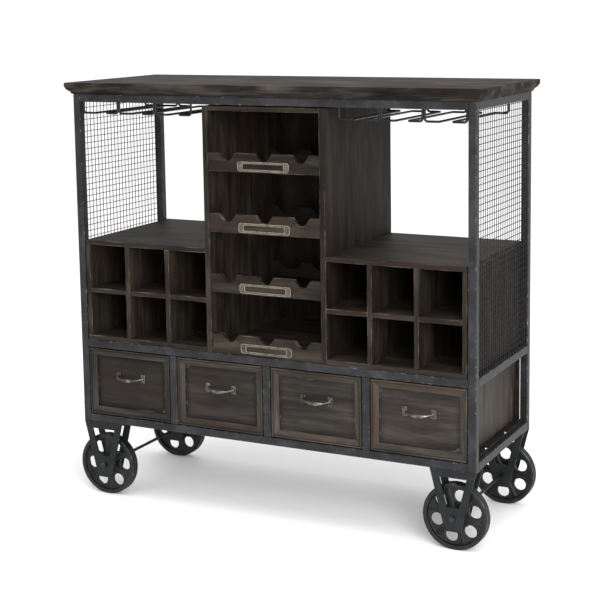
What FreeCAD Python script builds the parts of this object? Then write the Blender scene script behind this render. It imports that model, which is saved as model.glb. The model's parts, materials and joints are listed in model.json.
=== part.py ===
import FreeCAD, Part
import math
import os

V = FreeCAD.Vector

# A bar cart on four cast-iron trolley wheels: a square-tube steel frame under a planked wooden top,
# a middle column of bottle bays, two blocks of cubbies, four drawers, wire-mesh sides and two
# stemware racks.  +X is the cart's right, -Y its front, +Z up.  The floor is Z = 0, and the
# origin is under the middle of the cart.

# ---- Driving dimensions, in millimetres ----

# steel frame
FRAME_W = 1085.0          # outside width
FRAME_D = 395.0           # outside depth
TUBE = 20.0               # side of the square tube
DRAWER_OPENING_H = 178.0  # clear height between the bottom and middle rails
UPPER_OPENING_H = 615.0   # clear height between the middle and top rails
DRAWERS = 4

# wooden top
TOP_T = 29.0              # thickness
TOP_OVERHANG = 16.0       # past the frame, on all four sides
TOP_EDGE_H = 12.0         # height of the upright face of the edge
TOP_QUIRK = 2.0           # step in, under the upright face
TOP_MOULD_IN = 13.0       # how far in the moulding ends, at the underside
TOP_ROUND = 2.0           # rounding of the upper corner

# wheels, forks and axles
WHEEL_D = 160.0
WHEEL_W = 25.0            # width of the tread
RIM_T = 11.0              # radial thickness of the rim
WEB_T = 8.0
HUB_D = 36.0
TREAD_GROOVE = 1.5        # depth of the two grooves round the tread
WHEEL_HOLES = 6
WHEEL_HOLE_D = 31.0
WHEEL_HOLE_RIM_GAP = 4.0  # hole to the inside of the rim
RIB_T = 5.0
RIB_PROUD = 3.0           # how far a rib stands out from the web
AXLE_D = 8.0
FORK_DROP = 116.0         # from the underside of the frame down to the axle
FORK_GAP = 40.0           # between the two plates of a fork
FORK_PLATE_T = 5.0
FORK_TOP_W = 115.0
FORK_FOOT_W = 40.0
FORK_FOOT_DROP = 32.0     # from the axle down to the end of the plate
FORK_BAR = 19.0           # width of the plate beside its window
FORK_WINDOW_ABOVE = 26.0  # from the axle up to the window
NUT_W = 13.0              # across flats
NUT_H = 6.5
WHEEL_TURNS = {"front_left": 4.0, "front_right": 17.0, "rear_left": 10.0, "rear_right": 27.0}

# middle column of bottle bays
COLUMN_W = 330.0
COLUMN_SIDE_T = 14.0
BOARD_T = 12.0            # every other board of the cabinet
CABINET_INSET = 1.0       # cabinet inside the front and rear faces of the frame
BACK_T = 6.0
COLUMN_TOP_GAP = 3.0      # under the top rail
BOTTLE_LEVELS = 4
REST_TOP_FIRST = 49.0     # upper edge of the lowest rest, above the middle rail
REST_H = 46.0
REST_T = 12.0
REST_RECESS = 3.0         # front of the rests behind the front of the column
NECK_PITCH = 100.0
NECK_W = 46.0             # width of a neck notch at the upper edge
NECK_FLAT_W = 28.0        # where the slopes meet the round
NECK_SLOPE_H = 12.0
NECK_DEPTH = 20.0
BODY_NOTCH_W = 70.0
BODY_NOTCH_DEPTH = 20.0
REAR_REST_H = 40.0
REAR_REST_DROP = 23.0     # from the top of a front rest down to its rear rest
REAR_REST_BACK = 60.0     # rear rests ahead of the back panel

# label holders
LABEL_W = 140.0
LABEL_H = 24.0
LABEL_T = 1.5
LABEL_WINDOW_W = 110.0
LABEL_WINDOW_H = 13.0
LABEL_DROP = 31.5         # from the upper edge of the rest to the middle of the holder
LABEL_PIN_D = 6.0
LABEL_PIN_H = 2.5

# cubbies
CUBBY_COLUMNS = 3
CUBBY_CLEAR_H = 112.5
CABINET_SIDE_GAP = 2.5    # cabinet to the inside of the frame

# drawers and their case
DRAWER_GAP = 2.5          # round each drawer front
DRAWER_FRONT_T = 18.0
MOULD_RIM = 4.0           # flat edge of the moulding round a drawer front
MOULD_W = 19.0            # whole width of the moulding
MOULD_DEPTH = 9.0         # its face down to the middle panel
MOULD_STEP = 2.0          # upright step where the slope meets the panel
DRAWER_HEAD_GAP = 31.5    # drawer box below the middle rail
DRAWER_REAR_GAP = 39.0    # drawer box to the case back
DRAWER_WALL = 10.0
DRAWER_BOTTOM_T = 6.0
SLIDE_GAP = 0.5           # drawer box to the case floor
RUNNER_T = 9.0
RUNNER_H = 25.0
RUNNER_GAP = 1.0          # drawer box to a runner
CASE_FLOOR_T = 6.0
CASE_FLOOR_LAP = 8.0      # case floor on the side rails
CASE_SIDE_INSET = 32.5    # outside of the frame to the outside of the case
CASE_BACK_GAP = 2.0       # case back to each rear post
PARTITION_T = 12.0
FLOOR_SCREW_Y = (-88.0, 50.0)
SCREW_HEAD_D = 8.0
SCREW_HEAD_H = 2.6

# drawer pulls
PULL_SPAN = 73.0          # between the middles of the end plates
PULL_PLATE_W = 12.0
PULL_PLATE_H = 22.0
PULL_PLATE_T = 2.0
PULL_OUT = 17.0           # plate to the middle of the grip
PULL_SAG = 4.5            # middle of the grip below the end plates
PULL_BAR_D = 8.0
PULL_ABOVE_MIDDLE = 16.5  # above the middle of the drawer front

# wire-mesh side panels
MESH_PITCH = 15.25
MESH_WIRE = 2.0
MESH_INSET = 2.0          # mesh behind the outer face of the frame

# stemware racks
RACK_BAYS = 3
RACK_ROD_D = 5.5
RACK_DROP = 28.0          # underside of the top rail down to the rods
RACK_SLOT = 26.0          # clear width for the stems, between two runners
RACK_BEND_R = 7.0         # bending radius at the middle of the rod
RACK_OFF_COLUMN = 33.0    # column to the first rod
RACK_OFF_POST = 3.0       # last rod to the post
RACK_FRONT = 10.0         # first rod behind the front of the frame
RACK_REAR = 82.5          # last rod ahead of the rear rail

# clearances
BORE_GAP = 0.05           # radial, axle in a fork plate or nut
WHEEL_BORE_GAP = 0.08     # radial, axle in a wheel
HUB_GAP = 0.5             # hub to each fork plate

# ---- Places worked out from the sizes ----
HALF_W = FRAME_W / 2
HALF_D = FRAME_D / 2
IN_W = HALF_W - TUBE
IN_D = HALF_D - TUBE
Z_AXLE = WHEEL_D / 2
Z_BOTTOM_RAIL = Z_AXLE + FORK_DROP
Z_DRAWERS = Z_BOTTOM_RAIL + TUBE
Z_MIDDLE_RAIL = Z_DRAWERS + DRAWER_OPENING_H
Z_UPPER = Z_MIDDLE_RAIL + TUBE
Z_TOP_RAIL = Z_UPPER + UPPER_OPENING_H
Z_FRAME = Z_TOP_RAIL + TUBE
Z_TOP = Z_FRAME + TOP_T

CABINET_FRONT = -HALF_D + CABINET_INSET
CABINET_BACK = HALF_D - CABINET_INSET
BOARD_BACK = CABINET_BACK - BACK_T
COLUMN_HALF = COLUMN_W / 2
COLUMN_IN = COLUMN_HALF - COLUMN_SIDE_T
COLUMN_TOP_Z = Z_TOP_RAIL - COLUMN_TOP_GAP
REST_PITCH = (COLUMN_TOP_Z - BOARD_T - Z_UPPER) / BOTTLE_LEVELS
CABINET_OUT = IN_W - CABINET_SIDE_GAP
CUBBY_SHELF_Z = Z_UPPER + BOARD_T + CUBBY_CLEAR_H
CUBBY_TOP_Z = CUBBY_SHELF_Z + BOARD_T + CUBBY_CLEAR_H
CUBBY_IN_W = CABINET_OUT - BOARD_T - COLUMN_HALF
CUBBY_CLEAR_W = (CUBBY_IN_W - (CUBBY_COLUMNS - 1) * BOARD_T) / CUBBY_COLUMNS
REST_FRONT = CABINET_FRONT + REST_RECESS

DRAWER_OPENING_W = (2 * IN_W - (DRAWERS - 1) * TUBE) / DRAWERS
DRAWER_X = [-IN_W + DRAWER_OPENING_W / 2 + i * (DRAWER_OPENING_W + TUBE) for i in range(DRAWERS)]
UPRIGHT_X = [x + (DRAWER_OPENING_W + TUBE) / 2 for x in DRAWER_X[:-1]]
FLOOR_TOP = Z_DRAWERS + CASE_FLOOR_T
DECK_Z = Z_UPPER - BOARD_T
CASE_OUT = HALF_W - CASE_SIDE_INSET
CASE_IN = CASE_OUT - BOARD_T
CASE_BACK = IN_D
DRAWER_BOX_HALF = CASE_IN - DRAWER_X[-1] - RUNNER_T - 2 * RUNNER_GAP
FRONT_Z0 = Z_DRAWERS + DRAWER_GAP
FRONT_Z1 = Z_MIDDLE_RAIL - DRAWER_GAP
FRONT_HALF = DRAWER_OPENING_W / 2 - DRAWER_GAP
FRONT_BACK = -HALF_D + DRAWER_FRONT_T
PULL_Z = (FRONT_Z0 + FRONT_Z1) / 2 + PULL_ABOVE_MIDDLE
PULL_FACE = -HALF_D + MOULD_DEPTH

FORK_X = HALF_W - FORK_TOP_W / 2
WHEEL_Y = HALF_D - FORK_PLATE_T - FORK_GAP / 2
AXLE_R = AXLE_D / 2


# ---- Small helpers ----
def box(x0, x1, y0, y1, z0, z1):
    return Part.makeBox(x1 - x0, y1 - y0, z1 - z0, V(x0, y0, z0))


def polygon_plate(points, direction):
    """A flat plate: the closed outline of corner points, thickened along a vector."""
    return Part.Face(Part.makePolygon(points + points[:1])).extrude(direction)


def both_sides(shape):
    """A piece for the right of the cart, with its mirror image for the left."""
    return {"right": shape, "left": shape.mirror(V(0, 0, 0), V(1, 0, 0))}


def save(name, solids):
    shape = solids[0] if len(solids) == 1 else Part.makeCompound(solids)
    shape.exportStep("parts/" + name + ".step")


# ---- Steel frame ----
def posts():
    for front in (True, False):
        for right in (True, False):
            x0 = IN_W if right else -HALF_W
            y0 = -HALF_D if front else IN_D
            name = ("front" if front else "rear") + ("_right" if right else "_left") + "_post"
            save(name, [box(x0, x0 + TUBE, y0, y0 + TUBE, Z_BOTTOM_RAIL, Z_FRAME)])


def rails(z):
    """Front, rear, left and right rails between the posts, at one height."""
    return [
        box(-IN_W, IN_W, -HALF_D, -IN_D, z, z + TUBE),
        box(-IN_W, IN_W, IN_D, HALF_D, z, z + TUBE),
        box(-HALF_W, -IN_W, -IN_D, IN_D, z, z + TUBE),
        box(IN_W, HALF_W, -IN_D, IN_D, z, z + TUBE),
    ]


def frame():
    posts()
    save("top_rails", rails(Z_TOP_RAIL))
    save("middle_rails", rails(Z_MIDDLE_RAIL))
    save("bottom_rails", rails(Z_BOTTOM_RAIL))
    save("drawer_uprights", [
        box(x - TUBE / 2, x + TUBE / 2, -HALF_D, -IN_D, Z_DRAWERS, Z_MIDDLE_RAIL) for x in UPRIGHT_X])


def mesh_panel():
    """Welded wire mesh in the upper opening of one side, as one flat grille."""
    x = HALF_W - MESH_INSET
    clear_y = 2 * IN_D
    holes_y = int((clear_y - MESH_WIRE) // MESH_PITCH)
    holes_z = int((UPPER_OPENING_H - MESH_WIRE) // MESH_PITCH)
    hole = MESH_PITCH - MESH_WIRE
    y_first = -holes_y * MESH_PITCH / 2 + MESH_WIRE / 2
    z_first = Z_UPPER + (UPPER_OPENING_H - holes_z * MESH_PITCH) / 2 + MESH_WIRE / 2
    outline = Part.makePolygon([V(x, -IN_D, Z_UPPER), V(x, IN_D, Z_UPPER), V(x, IN_D, Z_TOP_RAIL),
                                V(x, -IN_D, Z_TOP_RAIL), V(x, -IN_D, Z_UPPER)])
    wires = [outline]
    for i in range(holes_y):
        for j in range(holes_z):
            y = y_first + i * MESH_PITCH
            z = z_first + j * MESH_PITCH
            wires.append(Part.makePolygon([V(x, y, z), V(x, y, z + hole), V(x, y + hole, z + hole),
                                           V(x, y + hole, z), V(x, y, z)]))
    return Part.Face(wires).extrude(V(-MESH_WIRE, 0, 0))


# ---- Wooden top ----
def edge_cutter(length):
    """What is cut from one edge of the top: the outline in the Y-Z plane, outside at Y = 0."""
    low = -TOP_T
    turn_in = (TOP_QUIRK + TOP_MOULD_IN) / 2
    turn_z = -(TOP_EDGE_H + TOP_T) / 2
    quirk = V(0, TOP_QUIRK, -TOP_EDGE_H)
    turn = V(0, turn_in, turn_z)
    foot = V(0, TOP_MOULD_IN, low)
    bulge = (TOP_MOULD_IN - TOP_QUIRK) / 9
    upper_mid = V(0, (quirk.y + turn.y) / 2 - bulge, (quirk.z + turn.z) / 2 - bulge)
    lower_mid = V(0, (turn.y + foot.y) / 2 + bulge, (turn.z + foot.z) / 2 + bulge)
    outline = Part.Wire([
        Part.Arc(quirk, upper_mid, turn).toShape(),
        Part.Arc(turn, lower_mid, foot).toShape(),
        Part.makeLine(foot, V(0, TOP_MOULD_IN, low - 1)),
        Part.makeLine(V(0, TOP_MOULD_IN, low - 1), V(0, -1, low - 1)),
        Part.makeLine(V(0, -1, low - 1), V(0, -1, -TOP_EDGE_H)),
        Part.makeLine(V(0, -1, -TOP_EDGE_H), quirk),
    ])
    return Part.Face(outline).extrude(V(length, 0, 0))


def wooden_top():
    half_w = HALF_W + TOP_OVERHANG
    half_d = HALF_D + TOP_OVERHANG
    top = box(-half_w, half_w, -half_d, half_d, Z_FRAME, Z_TOP)
    past = 2.0
    for quarter in range(4):
        reach, span = (half_w, half_d) if quarter % 2 else (half_d, half_w)
        cutter = edge_cutter(2 * (span + past))
        cutter.translate(V(-span - past, -reach, Z_TOP))
        cutter.rotate(V(0, 0, 0), V(0, 0, 1), 90 * quarter)
        top = top.cut(cutter)
    upper = [edge for edge in top.Edges if edge.BoundBox.ZMin > Z_TOP - TOP_ROUND / 2]
    return top.makeFillet(TOP_ROUND, upper)


# ---- Middle column ----
def notched_board(y0, z_top, height, notch):
    board = box(-COLUMN_IN, COLUMN_IN, y0, y0 + REST_T, z_top - height, z_top)
    for x in (-NECK_PITCH, 0.0, NECK_PITCH):
        cutter = notch.copy()
        cutter.translate(V(x, y0 - 1, z_top))
        board = board.cut(cutter)
    return board


def neck_notch():
    """Sloping shoulders, then a round bed for a bottle's neck."""
    left = V(-NECK_FLAT_W / 2, 0, -NECK_SLOPE_H)
    right = V(NECK_FLAT_W / 2, 0, -NECK_SLOPE_H)
    outline = Part.Wire([
        Part.makeLine(V(-NECK_W / 2, 0, 0), left),
        Part.Arc(left, V(0, 0, -NECK_DEPTH), right).toShape(),
        Part.makeLine(right, V(NECK_W / 2, 0, 0)),
        Part.makeLine(V(NECK_W / 2, 0, 0), V(NECK_W / 2, 0, 1)),
        Part.makeLine(V(NECK_W / 2, 0, 1), V(-NECK_W / 2, 0, 1)),
        Part.makeLine(V(-NECK_W / 2, 0, 1), V(-NECK_W / 2, 0, 0)),
    ])
    return Part.Face(outline).extrude(V(0, REST_T + 2, 0))


def body_notch():
    """A shallow round bed for a bottle's body."""
    left = V(-BODY_NOTCH_W / 2, 0, 0)
    right = V(BODY_NOTCH_W / 2, 0, 0)
    outline = Part.Wire([
        Part.Arc(left, V(0, 0, -BODY_NOTCH_DEPTH), right).toShape(),
        Part.makeLine(right, V(BODY_NOTCH_W / 2, 0, 1)),
        Part.makeLine(V(BODY_NOTCH_W / 2, 0, 1), V(-BODY_NOTCH_W / 2, 0, 1)),
        Part.makeLine(V(-BODY_NOTCH_W / 2, 0, 1), left),
    ])
    return Part.Face(outline).extrude(V(0, REST_T + 2, 0))


def label_holder(z_middle):
    """A pressed frame with a window, and a pin head through each end."""
    y_back = REST_FRONT
    half_w = LABEL_W / 2
    half_h = LABEL_H / 2
    plate = box(-half_w, half_w, y_back - LABEL_T, y_back, z_middle - half_h, z_middle + half_h)
    corners = [e for e in plate.Edges if e.BoundBox.YLength > LABEL_T / 2]
    plate = plate.makeFillet(half_h / 2, corners)
    window = box(-LABEL_WINDOW_W / 2, LABEL_WINDOW_W / 2, y_back - LABEL_T - 1, y_back + 1,
                 z_middle - LABEL_WINDOW_H / 2, z_middle + LABEL_WINDOW_H / 2)
    plate = plate.cut(window)
    pin_x = (half_w + LABEL_WINDOW_W / 2) / 2
    for x in (-pin_x, pin_x):
        inside = V(x, y_back - LABEL_T / 2, z_middle)
        pin = Part.makeCylinder(LABEL_PIN_D / 2, LABEL_T / 2 + LABEL_PIN_H, inside, V(0, -1, 0))
        plate = plate.fuse(pin)
    return plate.removeSplitter()


def column():
    side = box(COLUMN_IN, COLUMN_HALF, CABINET_FRONT, BOARD_BACK, Z_UPPER, COLUMN_TOP_Z)
    for hand, shape in both_sides(side).items():
        save("column_side_" + hand, [shape])
    save("column_top_and_floor", [
        box(-COLUMN_IN, COLUMN_IN, CABINET_FRONT, BOARD_BACK, COLUMN_TOP_Z - BOARD_T, COLUMN_TOP_Z),
        box(-COLUMN_IN, COLUMN_IN, REST_FRONT + REST_T, BOARD_BACK, Z_UPPER, Z_UPPER + BOARD_T)])
    rear_rests = []
    holders = []
    for level in range(BOTTLE_LEVELS):
        z_top = Z_UPPER + REST_TOP_FIRST + level * REST_PITCH
        height = REST_TOP_FIRST if level == 0 else REST_H
        save("bottle_rest_%d" % (level + 1), [notched_board(REST_FRONT, z_top, height, neck_notch())])
        holders.append(label_holder(z_top - LABEL_DROP))
        if level > 0:
            y_rear = BOARD_BACK - REAR_REST_BACK
            rear_rests.append(notched_board(y_rear, z_top - REAR_REST_DROP, REAR_REST_H, body_notch()))
    save("rear_bottle_rests", rear_rests)
    save("label_holders", holders)


# ---- Cubbies ----
def cubbies():
    x0 = COLUMN_HALF
    x1 = CABINET_OUT
    y0 = CABINET_FRONT
    y1 = BOARD_BACK
    top = box(x0, x1, y0, y1, CUBBY_TOP_Z, CUBBY_TOP_Z + BOARD_T)
    bottom = box(x0, x1, y0, y1, Z_UPPER, Z_UPPER + BOARD_T)
    uprights = [box(x1 - BOARD_T, x1, y0, y1, Z_UPPER + BOARD_T, CUBBY_TOP_Z)]
    shelves = [bottom]
    for i in range(CUBBY_COLUMNS):
        x = x0 + i * (CUBBY_CLEAR_W + BOARD_T)
        shelves.append(box(x, x + CUBBY_CLEAR_W, y0, y1, CUBBY_SHELF_Z, CUBBY_SHELF_Z + BOARD_T))
        if i > 0:
            uprights.append(box(x - BOARD_T, x, y0, y1, Z_UPPER + BOARD_T, CUBBY_TOP_Z))
    pieces = {"cubby_top": [top], "cubby_uprights": uprights, "cubby_shelves": shelves}
    for name, solids in pieces.items():
        for hand in ("right", "left"):
            save(name + "_" + hand, [both_sides(s)[hand] for s in solids])
    back = box(x0, x1, BOARD_BACK, CABINET_BACK, Z_UPPER, CUBBY_TOP_Z + BOARD_T)
    column_back = box(-COLUMN_HALF, COLUMN_HALF, BOARD_BACK, CABINET_BACK, Z_UPPER, COLUMN_TOP_Z)
    save("back_panels", [column_back] + list(both_sides(back).values()))


# ---- Drawer case ----
def drawer_case():
    save("cabinet_deck", [box(-IN_W, IN_W, -IN_D, IN_D, DECK_Z, Z_UPPER)])
    floor_half = IN_W + CASE_FLOOR_LAP
    save("case_floor", [box(-floor_half, floor_half, -IN_D, IN_D, Z_DRAWERS, FLOOR_TOP)])
    side = box(CASE_IN, CASE_OUT, -IN_D, CASE_BACK, FLOOR_TOP, DECK_Z)
    save("case_sides", list(both_sides(side).values()))
    back_half = IN_W - CASE_BACK_GAP
    save("case_back", [box(-back_half, back_half, IN_D, IN_D + BACK_T, Z_DRAWERS, Z_MIDDLE_RAIL)])
    half_t = PARTITION_T / 2
    save("drawer_partitions", [
        box(x - half_t, x + half_t, -IN_D, CASE_BACK, FLOOR_TOP, DECK_Z) for x in UPRIGHT_X])
    runners = []
    for x in DRAWER_X:
        for edge in (x - DRAWER_BOX_HALF - RUNNER_GAP - RUNNER_T, x + DRAWER_BOX_HALF + RUNNER_GAP):
            runners.append(box(edge, edge + RUNNER_T, -IN_D, CASE_BACK, FLOOR_TOP, FLOOR_TOP + RUNNER_H))
    save("drawer_runners", runners)
    screw_x = IN_W + CASE_FLOOR_LAP / 2
    screws = []
    for x in (-screw_x, screw_x):
        for y in FLOOR_SCREW_Y:
            head = Part.makeCylinder(SCREW_HEAD_D / 2, SCREW_HEAD_H, V(x, y, FLOOR_TOP))
            head = head.makeFillet(SCREW_HEAD_H / 2, [max(head.Edges, key=lambda e: e.BoundBox.ZMin)])
            screws.append(head)
    save("floor_screws", screws)


# ---- Drawers ----
def drawer_front(x):
    """A board with a raised moulding: a flat rim, a slope down, and a step to the middle panel."""
    front = box(x - FRONT_HALF, x + FRONT_HALF, -HALF_D, FRONT_BACK, FRONT_Z0, FRONT_Z1)
    slope_depth = MOULD_DEPTH - MOULD_STEP

    def ring(inset, y):
        x0, x1 = x - FRONT_HALF + inset, x + FRONT_HALF - inset
        z0, z1 = FRONT_Z0 + inset, FRONT_Z1 - inset
        return Part.makePolygon([V(x0, y, z0), V(x1, y, z0), V(x1, y, z1), V(x0, y, z1), V(x0, y, z0)])

    slope = Part.makeLoft([ring(MOULD_RIM, -HALF_D), ring(MOULD_W, -HALF_D + slope_depth)], True, True)
    panel = Part.Face(ring(MOULD_W, -HALF_D + slope_depth)).extrude(V(0, MOULD_STEP, 0))
    return front.cut(slope).cut(panel)


def drawer_box(x):
    """Two sides, a back, an inner front and a bottom between them, as separate boards."""
    z0 = FLOOR_TOP + SLIDE_GAP
    z1 = Z_MIDDLE_RAIL - DRAWER_HEAD_GAP
    y0 = FRONT_BACK
    y1 = CASE_BACK - DRAWER_REAR_GAP
    w = DRAWER_WALL
    half = DRAWER_BOX_HALF
    return [
        box(x - half, x - half + w, y0, y1, z0, z1),
        box(x + half - w, x + half, y0, y1, z0, z1),
        box(x - half + w, x + half - w, y0, y0 + w, z0, z1),
        box(x - half + w, x + half - w, y1 - w, y1, z0, z1),
        box(x - half + w, x + half - w, y0 + w, y1 - w, z0, z0 + DRAWER_BOTTOM_T),
    ]


def drawer_pull(x):
    """Two end plates and a grip that bows out and down between them."""
    half = PULL_SPAN / 2
    start = V(x - half, PULL_FACE - PULL_PLATE_T / 2, PULL_Z)
    middle = V(x, PULL_FACE - PULL_PLATE_T / 2 - PULL_OUT, PULL_Z - PULL_SAG)
    end = V(x + half, PULL_FACE - PULL_PLATE_T / 2, PULL_Z)
    path = Part.Wire(Part.Arc(start, middle, end).toShape())
    tangent = path.Edges[0].tangentAt(path.Edges[0].FirstParameter)
    section = Part.Wire(Part.makeCircle(PULL_BAR_D / 2, start, tangent))
    pull = path.makePipeShell([section], True, True)
    half_w = PULL_PLATE_W / 2
    half_h = PULL_PLATE_H / 2
    for side in (-half, half):
        x0 = x + side - half_w
        pull = pull.fuse(box(x0, x0 + PULL_PLATE_W, PULL_FACE - PULL_PLATE_T, PULL_FACE,
                             PULL_Z - half_h, PULL_Z + half_h))
    # the ends of the grip stop at the drawer front
    behind = box(x - half - PULL_BAR_D, x + half + PULL_BAR_D, PULL_FACE, PULL_FACE + PULL_BAR_D,
                 PULL_Z - half_h, PULL_Z + half_h)
    return pull.cut(behind).removeSplitter()


def drawers():
    for i, x in enumerate(DRAWER_X):
        save("drawer_front_%d" % (i + 1), [drawer_front(x)])
        save("drawer_box_%d" % (i + 1), drawer_box(x))
        save("drawer_pull_%d" % (i + 1), [drawer_pull(x)])


# ---- Stemware racks ----
def rod(points):
    """A round rod through corner points, bent to RACK_BEND_R at each inner one."""
    edges = []
    start = points[0]
    for before, corner, after in zip(points, points[1:], points[2:]):
        to_before = (before - corner).normalize()
        to_after = (after - corner).normalize()
        half_turn = (math.pi - to_before.getAngle(to_after)) / 2
        trim = RACK_BEND_R * math.tan(half_turn)
        middle_way = (to_before + to_after).normalize()
        centre_off = RACK_BEND_R / math.cos(half_turn)
        a = corner + to_before * trim
        b = corner + to_after * trim
        mid = corner + middle_way * (centre_off - RACK_BEND_R)
        edges.append(Part.makeLine(start, a))
        edges.append(Part.Arc(a, mid, b).toShape())
        start = b
    edges.append(Part.makeLine(start, points[-1]))
    path = Part.Wire(edges)
    section = Part.Wire(Part.makeCircle(RACK_ROD_D / 2, points[0], points[1] - points[0]))
    return path.makePipeShell([section], True, False)


def stemware_rack():
    """Two rods to a bay, each down from the rail, in to the slot, back, out and up again."""
    x0 = COLUMN_HALF + RACK_OFF_COLUMN
    bay = (IN_W - RACK_OFF_POST - x0) / RACK_BAYS
    z_rod = Z_TOP_RAIL - RACK_DROP
    y_front = -HALF_D + RACK_FRONT
    y_rear = IN_D - RACK_REAR
    rods = []
    for i in range(RACK_BAYS):
        left = x0 + i * bay + RACK_ROD_D / 2
        right = x0 + (i + 1) * bay - RACK_ROD_D / 2
        foot = (right - left - RACK_SLOT - RACK_ROD_D) / 2
        for edge, runner in ((left, left + foot), (right, right - foot)):
            rods.append(rod([
                V(edge, y_front, Z_TOP_RAIL),
                V(edge, y_front, z_rod),
                V(runner, y_front, z_rod),
                V(runner, y_rear, z_rod),
                V(edge, y_rear, z_rod),
                V(edge, y_rear, Z_FRAME),
            ]))
    return rods


# ---- Wheels, forks and axles ----
def fork_plate(y0):
    """An upright plate that narrows to the axle, with a window of the same taper."""
    top_half = FORK_TOP_W / 2
    foot_half = FORK_FOOT_W / 2
    z_foot = Z_AXLE - FORK_FOOT_DROP
    taper = (top_half - foot_half) / (Z_BOTTOM_RAIL - z_foot)
    z0 = Z_AXLE + FORK_WINDOW_ABOVE
    z1 = Z_BOTTOM_RAIL - FORK_BAR
    half0 = foot_half + (z0 - z_foot) * taper - FORK_BAR
    half1 = foot_half + (z1 - z_foot) * taper - FORK_BAR
    through = V(0, FORK_PLATE_T, 0)
    plate = polygon_plate([V(-top_half, y0, Z_BOTTOM_RAIL), V(top_half, y0, Z_BOTTOM_RAIL),
                           V(foot_half, y0, z_foot), V(-foot_half, y0, z_foot)], through)
    window = polygon_plate([V(-half1, y0, z1), V(half1, y0, z1),
                            V(half0, y0, z0), V(-half0, y0, z0)], through)
    bore = Part.makeCylinder(AXLE_R + BORE_GAP, FORK_PLATE_T, V(0, y0, Z_AXLE), V(0, 1, 0))
    return plate.cut(window).cut(bore)


def fork():
    """Front plate, rear plate and the top plate that joins them under the frame; front, at X = 0."""
    y_front = -HALF_D
    y_rear = y_front + FORK_PLATE_T + FORK_GAP
    z_foot = Z_AXLE - FORK_FOOT_DROP
    taper = (FORK_TOP_W - FORK_FOOT_W) / 2 / (Z_BOTTOM_RAIL - z_foot)
    half = FORK_TOP_W / 2 - FORK_PLATE_T * taper
    top = box(-half, half, y_front + FORK_PLATE_T, y_rear, Z_BOTTOM_RAIL - FORK_PLATE_T, Z_BOTTOM_RAIL)
    return fork_plate(y_front).fuse([fork_plate(y_rear), top]).removeSplitter()


def wheel():
    """A cast wheel about the Y axis: grooved rim, thin web with round holes and ribs, and a hub."""
    r = WHEEL_D / 2
    half = WHEEL_W / 2
    hub_half = FORK_GAP / 2 - HUB_GAP
    bore_r = AXLE_R + WHEEL_BORE_GAP
    band = WHEEL_W / 5
    g = TREAD_GROOVE
    groove = []
    for y in (-band, band):
        groove += [(r, y - band / 2), (r - g, y - band / 4), (r - g, y + band / 4), (r, y + band / 2)]
    rim_in = r - RIM_T
    hub_r = HUB_D / 2
    web = WEB_T / 2
    outline = [(bore_r, -hub_half), (hub_r, -hub_half), (hub_r, -web), (rim_in - g, -web),
               (rim_in, -half), (r - g, -half), (r, -half + g)]
    outline += groove
    outline += [(r, half - g), (r - g, half), (rim_in, half), (rim_in - g, web),
                (hub_r, web), (hub_r, hub_half), (bore_r, hub_half)]
    points = [V(radius, y, 0) for radius, y in outline]
    body = Part.Face(Part.makePolygon(points + points[:1])).revolve(V(0, 0, 0), V(0, 1, 0), 360)
    step = 360.0 / WHEEL_HOLES
    hole_r = WHEEL_HOLE_D / 2
    ring_r = rim_in - WHEEL_HOLE_RIM_GAP - hole_r
    for i in range(WHEEL_HOLES):
        hole = Part.makeCylinder(hole_r, 2 * WEB_T, V(ring_r, -WEB_T, 0), V(0, 1, 0))
        hole.rotate(V(0, 0, 0), V(0, 1, 0), i * step)
        body = body.cut(hole)
    rib_half_y = web + RIB_PROUD
    for i in range(WHEEL_HOLES):
        rib = box(hub_r - RIB_PROUD, rim_in, -rib_half_y, rib_half_y, -RIB_T / 2, RIB_T / 2)
        rib.rotate(V(0, 0, 0), V(0, 1, 0), (i + 0.5) * step)
        body = body.fuse(rib)
    return body.removeSplitter()


def hex_nut(x, y, outward):
    radius = NUT_W / math.sqrt(3)
    corners = [V(x + radius * math.cos(math.radians(a)), y, Z_AXLE + radius * math.sin(math.radians(a)))
               for a in range(0, 360, 60)]
    nut = polygon_plate(corners, V(0, outward * NUT_H, 0))
    return nut.cut(Part.makeCylinder(AXLE_R + BORE_GAP, NUT_H, V(x, y, Z_AXLE), V(0, outward, 0)))


def running_gear():
    front_fork = fork()
    plain_wheel = wheel()
    nuts = []
    rod_half = HALF_D + NUT_H + AXLE_D / 4
    for hand, side in (("left", -1), ("right", 1)):
        x = side * FORK_X
        axle = Part.makeCylinder(AXLE_R, 2 * rod_half, V(x, -rod_half, Z_AXLE), V(0, 1, 0))
        save("axle_" + hand, [axle])
        for end, back in (("front", -1), ("rear", 1)):
            place = end + "_" + hand
            bracket = front_fork.copy() if back < 0 else front_fork.mirror(V(0, 0, 0), V(0, 1, 0))
            bracket.translate(V(x, 0, 0))
            save("wheel_fork_" + place, [bracket])
            turned = plain_wheel.copy()
            turned.rotate(V(0, 0, 0), V(0, 1, 0), -WHEEL_TURNS[place])
            turned.translate(V(x, back * WHEEL_Y, Z_AXLE))
            save("wheel_" + place, [turned])
            nuts.append(hex_nut(x, back * HALF_D, back))
    save("axle_nuts", nuts)


# ---- The cart ----
os.makedirs("parts", exist_ok=True)
frame()
for hand, panel in both_sides(mesh_panel()).items():
    save("mesh_panel_" + hand, [panel])
save("wooden_top", [wooden_top()])
column()
cubbies()
drawer_case()
drawers()
rack = stemware_rack()
for hand in ("right", "left"):
    save("stemware_rack_" + hand, [both_sides(r)[hand] for r in rack])
running_gear()
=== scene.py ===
import json
import math
import random

import bmesh
import bpy
from mathutils import Matrix, Vector, noise
from mathutils.geometry import tessellate_polygon

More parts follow.
